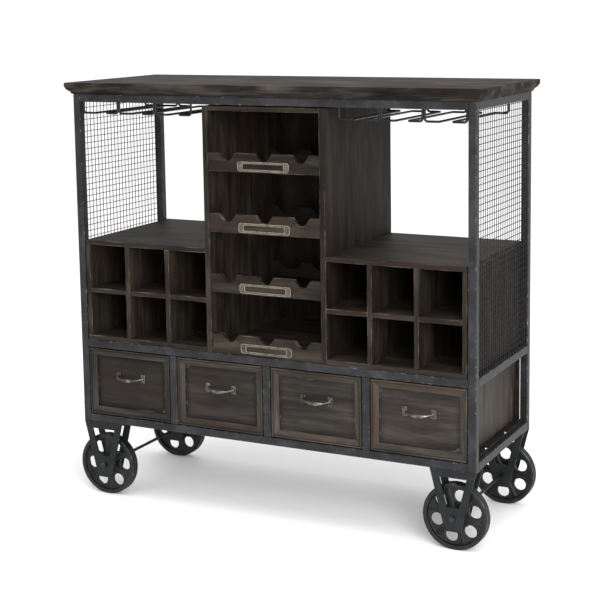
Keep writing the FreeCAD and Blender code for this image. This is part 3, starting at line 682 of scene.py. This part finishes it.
# ---- Drawer fronts ----
def make_drawer_front(number):
    """Four mitred lengths of moulding round a flat panel."""
    node = "drawer_front_%d" % number
    low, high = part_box(node)
    draw = random.Random(600 + number)
    thick = high.y - low.y
    # the moulding's outline: (in from the edge, back from the face, worn, change of tone); the tone drops as
    # painted shade on the outer side towards the gap, in the quirk and at the slope's foot by the panel, and
    # rises on the face and down the slope
    outline = [(0.0, thick, 0.0, -0.9), (0.0, 1.2 * MM, 0.7, -0.5), (0.35 * MM, 0.35 * MM, 1.0, 0.2),
               (1.2 * MM, 0.0, 0.8, 0.3), (3.2 * MM, 0.0, 0.3, 0.2), (3.9 * MM, 0.5 * MM, 0.6, -0.3),
               (4.2 * MM, 1.5 * MM, 0.0, -1.2), (4.9 * MM, 1.7 * MM, 0.0, -1.2),
               (5.6 * MM, 1.1 * MM, 0.4, -0.2)]
    slope_from = (5.6 * MM, 1.1 * MM)
    slope_to = (MOULD_W - 1.6 * MM, MOULD_DEEP - 2.4 * MM)
    steps = 6
    for i in range(1, steps + 1):
        share = i / steps
        bow = 0.7 * MM * math.sin(share * math.pi)
        inset = slope_from[0] + (slope_to[0] - slope_from[0]) * share
        deep = slope_from[1] + (slope_to[1] - slope_from[1]) * share - bow
        outline.append((inset, deep, 0.0, 0.6 * share))
    # painted shade at the slope's foot, where the moulding meets the panel
    outline += [(MOULD_W - 0.9 * MM, MOULD_DEEP - 2.3 * MM, 0.8, 0.6),
                (MOULD_W - 0.2 * MM, MOULD_DEEP - 1.7 * MM, 0.8, -0.3),
                (MOULD_W, MOULD_DEEP - 0.8 * MM, 0.0, -1.2), (MOULD_W, thick, 0.0, -1.2)]
    work = Work()
    # this drawer's tone holds painted shade: darker on the left drawers
    shaded_tone = DRAWER_SHADE_TONES[number - 1]
    # each side from its first corner: (corner, way it runs, way in to the panel), in X and Z
    sides = [((low.x, low.z), (1, 0), (0, 1)), ((high.x, low.z), (0, 1), (-1, 0)),
             ((high.x, high.z), (-1, 0), (0, -1)), ((low.x, high.z), (0, -1), (1, 0))]
    for side, (corner, ahead, inside) in enumerate(sides):
        shift = [draw.uniform(0, 9) for _ in range(3)]
        # the mouldings stand lighter than the panel: a random tone, partly painted light on the raised
        # moulding
        tone = shaded_tone + draw.uniform(0.1, 0.4)
        length = high.x - low.x if ahead[0] else high.z - low.z
        count = max(4, round(length / (30 * MM)))
        rows = []
        for i in range(count + 1):
            row = []
            for inset, deep, worn, shade in outline:
                start = inset + MITRE_GAP
                run = start + (length - 2 * start) * i / count
                lump = noise.noise(Vector((run * 60, inset * 90 + side * 5, number * 3.1)))
                dent = 0.5 * MM * max(0.0, lump) * worn
                x, z = [corner[k] + ahead[k] * run + inside[k] * (inset + dent * 0.5) for k in (0, 1)]
                place = (x, low.y + deep + dent, z)
                grain = (run + shift[0], inset + shift[1], deep + shift[2])
                row.append(work.point(place, grain, tone + shade, worn))
            rows.append(row)
        work.quad_rows(rows)
        work.end_caps(rows)
    gap = MOULD_W + 0.1 * MM
    # the panel darkens towards the moulding: painted shade in the recess
    rounded_box(work, (low.x + gap, low.y + MOULD_DEEP, low.z + gap),
                (high.x - gap, low.y + MOULD_DEEP + PANEL_T, high.z - gap), 0, draw, 0.5 * MM, 14 * MM,
                mean_tone=shaded_tone, painted_edge_shade=0.9)
    finish_piece(work, node, "_mouldings_and_panel", "drawer_wood")


# ---- Drawer pulls ----
def round_rect(width, height, radius, x=0.0, z=0.0, steps=5, hole=False):
    """A rounded rectangle about a point, as an outline; a hole runs the other way round."""
    ring = []
    for cx, cz, first in ((1, -1, -90), (1, 1, 0), (-1, 1, 90), (-1, -1, 180)):
        for i in range(steps + 1):
            angle = math.radians(first + 90 * i / steps)
            ring.append((x + cx * (width / 2 - radius) + radius * math.cos(angle),
                         z + cz * (height / 2 - radius) + radius * math.sin(angle)))
    return ring[::-1] if hole else ring


def screw_head(work, centre, radius, height, slot_turn, out=Vector((0, -1, 0))):
    """A domed screw head with a straight slot, standing out along a direction."""
    across = out.orthogonal().normalized()
    up = across.cross(out).normalized()
    rings = 7
    sides = 28
    rows = []
    for j in range(rings + 1):
        share = 1 - j / rings
        row = []
        for i in range(sides):
            angle = math.tau * i / sides
            r = radius * share
            dome = height * math.sqrt(max(0.0, 1 - share ** 2.4))
            off_slot = abs(r * math.sin(angle - slot_turn))
            if share < 0.8 and off_slot < radius * 0.16:
                dome *= 0.45
            r = max(r, 0.01 * MM)
            place = centre + across * (r * math.cos(angle)) + up * (r * math.sin(angle)) + out * dome
            row.append(work.point(place, worn=0.6 if share > 0.4 else 0.9))
        rows.append(row)
    work.quad_rows(rows)
    work.end_caps(rows)


def make_pull(number):
    """Two small plates, each held by two screws, and a grip that swells and flattens in its middle."""
    node = "drawer_pull_%d" % number
    low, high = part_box(node)
    draw = random.Random(700 + number)
    middle_x = (low.x + high.x) / 2
    plate_w, plate_h, plate_t = PULL_PLATE
    face = high.y
    height = high.z - plate_h / 2
    half = PULL_SPAN / 2
    work = Work()
    for side in (-1, 1):
        x = middle_x + side * half
        plate(work, [round_rect(plate_w, plate_h, 2.2 * MM, x, height)], face - plate_t, plate_t, draw,
              0.5 * MM, 0.8 * MM)
        # a ridge above and below the grip, as cast
        for z in (height - 3.9 * MM, height + 3.9 * MM):
            ridge = [Vector((x + share * plate_w * 0.42, face - plate_t, z))
                     for share in (-1, -0.5, 0, 0.5, 1)]
            swept(work, ridge, lambda share: (0.8 * MM, 0.7 * MM, 8), worn=1.0)
        for z in (height - 7.3 * MM, height + 7.3 * MM):
            centre = Vector((x, face - plate_t + 0.1 * MM, z))
            screw_head(work, centre, 2.3 * MM, 1.1 * MM, draw.uniform(0, 3))
    bulge = math.hypot(PULL_OUT, PULL_SAG)
    lean = Vector((0, -PULL_OUT, -PULL_SAG)) / bulge
    radius = (half ** 2 + bulge ** 2) / (2 * bulge)
    reach = math.asin(half / radius)
    start = Vector((middle_x, face - plate_t * 0.7, height))
    path = []
    steps = 40
    for i in range(steps + 1):
        angle = reach * (2 * i / steps - 1)
        outward = radius * math.cos(angle) - radius + bulge
        path.append(start + Vector((radius * math.sin(angle), 0, 0)) + lean * outward)

    def section(share):
        off = abs(2 * share - 1)
        belly = 0.5 + 0.5 * math.cos(min(1.0, off / 0.66) * math.pi)
        collar = 0.5 * MM * math.exp(-((off - 0.72) / 0.035) ** 2)
        foot = 1.3 * MM * math.exp(-((off - 0.98) / 0.06) ** 2)
        return ((2.4 + 1.2 * belly) * MM + collar + foot, 2.5 * MM * (1 + belly) + collar + foot, 16)

    swept(work, path, section, worn=0.85)
    finish_piece(work, node, "_casting", "pewter", sharp=50.0)


# ---- Label holders ----
def make_label_holders():
    """A pressed frame on each bottle rest: a flat band with a rolled lip outside and inside, and two
    pins."""
    draw = random.Random(800)
    work = Work()
    width, height = LABEL_SIZE
    window_w, window_h = LABEL_WINDOW
    for level in range(1, 5):
        low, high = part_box("bottle_rest_%d" % level)
        z = high.z - LABEL_DROP
        front = low.y - LABEL_T
        rings = [round_rect(width, height, 6 * MM, 0, z),
                 round_rect(window_w, window_h, 1.5 * MM, 0, z, hole=True)]
        plate(work, rings, front + 0.5 * MM, LABEL_T - 0.5 * MM, draw, 0.3 * MM, 0.6 * MM)
        for ring, thick in ((round_rect(width - 1.6 * MM, height - 1.6 * MM, 5.4 * MM, 0, z), 0.85 * MM),
                            (round_rect(window_w + 1.8 * MM, window_h + 1.8 * MM, 2 * MM, 0, z), 0.75 * MM)):
            path = [Vector((x, front + 0.45 * MM, w)) for x, w in ring]
            swept(work, path, lambda share, t=thick: (t, t, 8), closed=True, worn=1.0)
        pin_x = (width + window_w) / 4
        for x in (-pin_x, pin_x):
            screw_head(work, Vector((x, front + 0.4 * MM, z)), 2.9 * MM, 1.9 * MM, draw.uniform(0, 3))
    finish_piece(work, "label_holders", "_pressed", "aged_brass")


# ---- Wire mesh ----
def make_mesh_panels():
    """Welded mesh: upright wires outside, level wires laid behind and sunk into them at each weld."""
    for hand, side in (("left", -1), ("right", 1)):
        node = "mesh_panel_" + hand
        low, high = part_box(node)
        outer = high.x if side > 0 else -low.x
        work = Work()
        r = MESH_WIRE_R
        for along, across in ((2, 1), (1, 2)):
            clear = high[across] - low[across]
            gaps = int((clear - 2 * r) // MESH_PITCH)
            first = (low[across] + high[across]) / 2 - gaps * MESH_PITCH / 2
            depth = outer - r if along == 2 else outer - 3 * r + MESH_SINK
            for i in range(gaps + 1):
                ends = []
                for place in (low[along] - 0.5 * MM, high[along] + 0.5 * MM):
                    end = Vector((side * depth, 0, 0))
                    end[along] = place
                    end[across] = first + i * MESH_PITCH
                    ends.append(end)
                swept(work, ends, lambda share: (r, r, 6))
        finish_piece(work, node, "_wires", "mesh_steel", sharp=70.0)


# ---- Wheels ----
def smooth_step(value, low, high):
    share = min(1.0, max(0.0, (value - low) / (high - low)))
    return share * share * (3 - 2 * share)


def make_wheel(place_name):
    """A cast wheel: grooved tread, thick rim, thin web with round holes, soft ribs and a long hub."""
    node = "wheel_" + place_name
    low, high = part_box(node)
    centre = (low + high) / 2
    radius = (high.x - low.x) / 2
    hub_half = (high.y - low.y) / 2
    turn = math.radians(WHEEL_TURNS[place_name])
    sector = math.tau / WHEEL_HOLES
    arc_steps = 20
    side_steps = 12
    inner_r = 21.0 * MM
    outer_r = radius - 14.0 * MM
    work = Work()

    def web_height(x, z):
        angle = math.atan2(z, x)
        rib = round(angle / sector - 0.5) + 0.5
        off = abs(math.hypot(x, z) * math.sin(angle - rib * sector))
        return WEB_HALF + RIB_PROUD * (1 - smooth_step(off, 1.4 * MM, 4.2 * MM))

    def point(x, y, z, worn=0.0):
        turned_x = x * math.cos(turn) - z * math.sin(turn)
        turned_z = x * math.sin(turn) + z * math.cos(turn)
        return work.point((centre.x + turned_x, centre.y + y, centre.z + turned_z), worn=worn)

    # rings of the rim and of the hub beyond the web: (radius, half width there, worn)
    r = radius
    rim = [(outer_r, 0.0, 0.0), (r - 12.4 * MM, 4.5 * MM, 0.0), (r - 11.4 * MM, 5.6 * MM, 0.0),
           (r - 11.0 * MM, 7.2 * MM, 0.0), (r - 10.6 * MM, 11.2 * MM, 0.5), (r - 10.0 * MM, 12.2 * MM, 0.9),
           (r - 9.0 * MM, 12.5 * MM, 0.6), (r - 2.2 * MM, 12.5 * MM, 0.2), (r - 0.8 * MM, 12.0 * MM, 1.0),
           (r, 10.8 * MM, 1.0), (r, 7.7 * MM, 0.9), (r - 1.5 * MM, 6.4 * MM, 0.0),
           (r - 1.5 * MM, 3.6 * MM, 0.0), (r, 2.3 * MM, 0.9), (r, 0.0, 0.7)]
    hub = [(inner_r, 0.0, 0.0), (19.6 * MM, 4.5 * MM, 0.0), (18.6 * MM, 5.6 * MM, 0.0),
           (18.1 * MM, 7.6 * MM, 0.0), (17.6 * MM, hub_half - 1.2 * MM, 0.3),
           (17.2 * MM, hub_half - 0.3 * MM, 0.9), (16.2 * MM, hub_half, 0.6),
           (4.6 * MM, hub_half, 0.3), (WHEEL_BORE_R, hub_half - 0.5 * MM, 0.0)]
    total = arc_steps * WHEEL_HOLES
    for face in (-1, 1):
        for rings in (rim, hub):
            rows = []
            for ring_r, half_width, worn in rings:
                row = []
                for i in range(total):
                    angle = sector * (i / arc_steps - 0.5)
                    x = ring_r * math.cos(angle)
                    z = ring_r * math.sin(angle)
                    height = half_width
                    if half_width < 8 * MM and ring_r < r - 10.9 * MM:
                        height = max(half_width, web_height(x, z))
                    row.append(point(x, face * height, z, worn))
                rows.append(row)
            work.quad_rows(rows)
        for hole in range(WHEEL_HOLES):
            from_angle = sector * (hole - 0.5)
            around = [i / arc_steps for i in range(arc_steps)]
            inward = [i / side_steps for i in range(side_steps)]
            boundary = [(outer_r, from_angle + sector * s) for s in around]
            boundary += [(outer_r + (inner_r - outer_r) * s, from_angle + sector) for s in inward]
            boundary += [(inner_r, from_angle + sector * (1 - s)) for s in around]
            boundary += [(inner_r + (outer_r - inner_r) * s, from_angle) for s in inward]
            boundary = [(q * math.cos(a), q * math.sin(a)) for q, a in boundary]
            hole_x = WHEEL_HOLE_RING_R * math.cos(sector * hole)
            hole_z = WHEEL_HOLE_RING_R * math.sin(sector * hole)
            # from the middle of the web out over the hole's rounded lip, then across to the boundary
            lip = [(0.0, 0.0), (0.0, WEB_HALF - WHEEL_HOLE_LIP), (0.4 * MM, WEB_HALF - 0.4 * MM),
                   (WHEEL_HOLE_LIP, WEB_HALF)]
            rows = []
            for grow, height in lip:
                row = []
                for x, z in boundary:
                    angle = math.atan2(z - hole_z, x - hole_x)
                    reach = WHEEL_HOLE_R + grow
                    px = hole_x + reach * math.cos(angle)
                    pz = hole_z + reach * math.sin(angle)
                    row.append(point(px, face * height, pz, 0.5 if height else 0.0))
                rows.append(row)
            rings_out = 6
            for step in range(1, rings_out + 1):
                share = step / rings_out
                row = []
                for x, z in boundary:
                    angle = math.atan2(z - hole_z, x - hole_x)
                    reach = WHEEL_HOLE_R + WHEEL_HOLE_LIP
                    px = hole_x + reach * math.cos(angle)
                    pz = hole_z + reach * math.sin(angle)
                    px += (x - px) * share
                    pz += (z - pz) * share
                    lift = WEB_HALF + (web_height(px, pz) - WEB_HALF) * min(1.0, share * 2)
                    row.append(point(px, face * lift, pz))
                rows.append(row)
            work.quad_rows(rows)
    bore = []
    for face in (-1, 1):
        angles = [sector * (i / arc_steps - 0.5) for i in range(total)]
        bore.append([point(WHEEL_BORE_R * math.cos(a), face * (hub_half - 0.5 * MM),
                           WHEEL_BORE_R * math.sin(a)) for a in angles])
    work.quad_rows(bore)
    finish_piece(work, node, "_casting", "cast_iron", sharp=50.0, merge=0.01 * MM)


# ---- Forks, axles, nuts and screws ----
def make_fork(place_name):
    """Two tapered plates with a window, and the plate that joins them under the frame, welded."""
    node = "wheel_fork_" + place_name
    low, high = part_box(node)
    draw = random.Random(900 + len(place_name))
    thick = FORK_PLATE_T
    work = Work()
    rings = outlines(node, low.y)
    for y in (low.y, high.y - thick):
        plate(work, rings, y, thick, draw, 0.9 * MM, 1.8 * MM)
    top_low = (low.x + 2.5 * MM, low.y + thick - 0.2 * MM, high.z - thick)
    top_high = (high.x - 2.5 * MM, high.y - thick + 0.2 * MM, high.z)
    rounded_box(work, top_low, top_high, 0, draw, 0.5 * MM, 1 * MM)
    # a run of weld in each inner corner
    for y in (low.y + thick, high.y - thick):
        bead = []
        steps = 46
        for i in range(steps + 1):
            x = low.x + 8 * MM + (high.x - low.x - 16 * MM) * i / steps
            bead.append(Vector((x, y, high.z - thick - 0.3 * MM)))
        swept(work, bead, lambda share: (1.7 * MM + 0.45 * MM * math.sin(share * 140), 1.7 * MM, 8))
    finish_piece(work, node, "_plates", "fork_steel")


def make_axles():
    for hand in ("left", "right"):
        node = "axle_" + hand
        low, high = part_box(node)
        centre = (low + high) / 2
        r = (high.x - low.x) / 2
        half = (high.y - low.y) / 2
        pitch = 1.25 * MM
        # one end from its tip inward, threaded; the other end is its mirror image
        end = [(0.4 * MM, 0.0, 0.3), (r - 1.2 * MM, 0.0, 0.6), (r - 0.7 * MM, 0.5 * MM, 0.8)]
        along = 1.0 * MM
        while along < 9.5 * MM:
            end += [(r - 0.65 * MM, along, 0.5), (r, along + pitch / 2, 1.0)]
            along += pitch
        end.append((r, 11 * MM, 0.2))
        profile = [(q, a - half, w) for q, a, w in end] + [(q, half - a, w) for q, a, w in end[::-1]]
        work = Work()
        turned(work, profile, 28, centre)
        finish_piece(work, node, "_rod", "axle_steel", sharp=60.0)


def make_nuts():
    """Four hexagon nuts with turned, chamfered faces."""
    low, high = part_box("axle_nuts")
    work = Work()
    for hand in ("left", "right"):
        axle_low, axle_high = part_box("axle_" + hand)
        x = (axle_low.x + axle_high.x) / 2
        z = (axle_low.z + axle_high.z) / 2
        across = (high.z - low.z) / 2
        for end in (-1, 1):
            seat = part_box("wheel_fork_%s_%s" % ("front" if end < 0 else "rear", hand))
            y_in = seat[0].y if end < 0 else seat[1].y
            y_out = low.y if end < 0 else high.y
            sides = 48
            rows = []
            for share, cut, shine in ((0.0, 0.9, 0.2), (0.0, 0.97, 0.4), (0.1, 1.0, 0.8), (0.88, 1.0, 0.8),
                                      (1.0, 0.95, 1.0), (1.0, 0.62, 0.4)):
                row = []
                for i in range(sides):
                    angle = math.tau * i / sides
                    flat = across / math.cos((angle % (math.tau / 6)) - math.tau / 12)
                    limit = across * 1.13 if 0.05 < share < 0.95 else across * cut * 1.04
                    reach = min(flat, limit) if cut > 0.7 else across * cut
                    angle += math.tau / 12
                    place = (x + reach * math.cos(angle), y_in + (y_out - y_in) * share,
                             z + reach * math.sin(angle))
                    row.append(work.point(place, worn=shine))
                rows.append(row)
            for y, shine in ((y_out, 0.2), (y_in, 0.0)):
                angles = [math.tau * (i / sides + 1 / 12) for i in range(sides)]
                rows.append([work.point((x + NUT_BORE_R * math.cos(a), y, z + NUT_BORE_R * math.sin(a)),
                                        worn=shine) for a in angles])
            work.quad_rows(rows, closed_rows=True)
    finish_piece(work, "axle_nuts", "_hexagon", "axle_steel", sharp=30.0)


def make_floor_screws():
    draw = random.Random(950)
    node = "floor_screws"
    points = [v.co for v in frame["nodes"][node].data.vertices]
    low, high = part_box(node)
    work = Work()
    head_r = 4.0 * MM
    centres = []
    for p in points:
        if all((centre - p.xy).length >= 2.2 * head_r for centre in centres):
            near = [q.xy for q in points if (q.xy - p.xy).length < 2.2 * head_r]
            centres.append(Vector((min(q[k] for q in near) + max(q[k] for q in near)) / 2 for k in (0, 1)))
    up = Vector((0, 0, 1))
    for x, y in sorted(tuple(centre) for centre in centres):
        screw_head(work, Vector((x, y, low.z)), head_r, high.z - low.z, draw.uniform(0, 3), up)
    finish_piece(work, node, "_panhead", "screw_steel")


def dress_racks():
    """The bent rods keep their CAD shape and take their finish."""
    for hand in ("left", "right"):
        rods = frame["nodes"]["stemware_rack_" + hand]
        rods.data.materials.clear()
        rods.data.materials.append(finishes["rack_steel"])


# ---- Studio ----
def make_floor():
    finish, tree, shader = new_finish("pale_studio_floor")
    place = add(tree, "TexCoord", {}).outputs["Object"]
    clouds = add(tree, "TexNoise", {"Vector": place, "Scale": 1.1})
    colour = add(tree, "ValToRGB", {0: clouds}, stops=[(0.3, "#fbfbfb"), (0.7, "#fdfdfd")])
    connect(tree, shader, {"Base Color": colour, "Roughness": 0.8})
    mesh = bpy.data.meshes.new("studio_floor")
    reach = 14.0
    mesh.from_pydata([(-reach, -reach, 0), (reach, -reach, 0), (reach, reach, 0), (-reach, reach, 0)], [],
                     [(0, 1, 2, 3)])
    mesh.materials.append(finish)
    floor = placed("studio_floor", mesh)
    floor.location.z = cad_low.z


def soft_light(name, place, look_at, size, power):
    lamp = bpy.data.lights.new(name, "AREA")
    lamp.shape = "RECTANGLE"
    lamp.size, lamp.size_y = size
    lamp.energy = power
    box = placed(name, lamp)
    box.location = place
    box.rotation_euler = (Vector(look_at) - Vector(place)).to_track_quat("-Z", "Y").to_euler()


def make_lights():
    world = bpy.data.worlds.new("soft_room")
    world.use_nodes = True
    backdrop = world.node_tree.nodes["Background"]
    backdrop.inputs["Color"].default_value = linear("#ffffff")
    backdrop.inputs["Strength"].default_value = 1.08
    bpy.context.scene.world = world
    aim = (0.0, 0.0, 0.55)
    soft_light("key_right", (2.35, -2.85, 1.9), aim, (1.9, 1.9), 120)
    soft_light("top_box", (0.4, -0.6, 3.6), aim, (2.6, 2.0), 45)


def make_camera():
    """A long lens, standing to the right of the front and a little above the top."""
    yaw = math.radians(26.072)
    pitch = math.radians(7.781)
    roll = math.radians(-0.738)
    ahead = Vector((-math.sin(yaw) * math.cos(pitch), math.cos(yaw) * math.cos(pitch), -math.sin(pitch)))
    level = Vector((math.cos(yaw), math.sin(yaw), 0.0))
    above = level.cross(ahead)
    right = math.cos(roll) * level + math.sin(roll) * above
    up = -math.sin(roll) * level + math.cos(roll) * above
    lens = bpy.data.cameras.new("studio_camera")
    lens.sensor_width = 36.0
    lens.lens = 86.102
    lens.shift_x = -0.0411
    lens.shift_y = -0.1667
    lens.dof.use_dof = False
    camera = placed("studio_camera", lens)
    turn = Matrix((right, up, -ahead)).transposed().to_4x4()
    camera.matrix_world = Matrix.Translation((1.6322, -3.1953, 1.2671)) @ turn
    bpy.context.scene.camera = camera


# ---- The cart ----
make_camera()
finishes = make_finishes()
make_boards_and_tubes()
make_bottle_rests()
make_top()
for drawer in range(1, 5):
    make_drawer_front(drawer)
    make_pull(drawer)
make_label_holders()
make_mesh_panels()
for wheel in WHEEL_TURNS:
    make_wheel(wheel)
    make_fork(wheel)
make_axles()
make_nuts()
make_floor_screws()
dress_racks()
make_floor()
make_lights()
bpy.context.scene.view_settings.view_transform = "Standard"
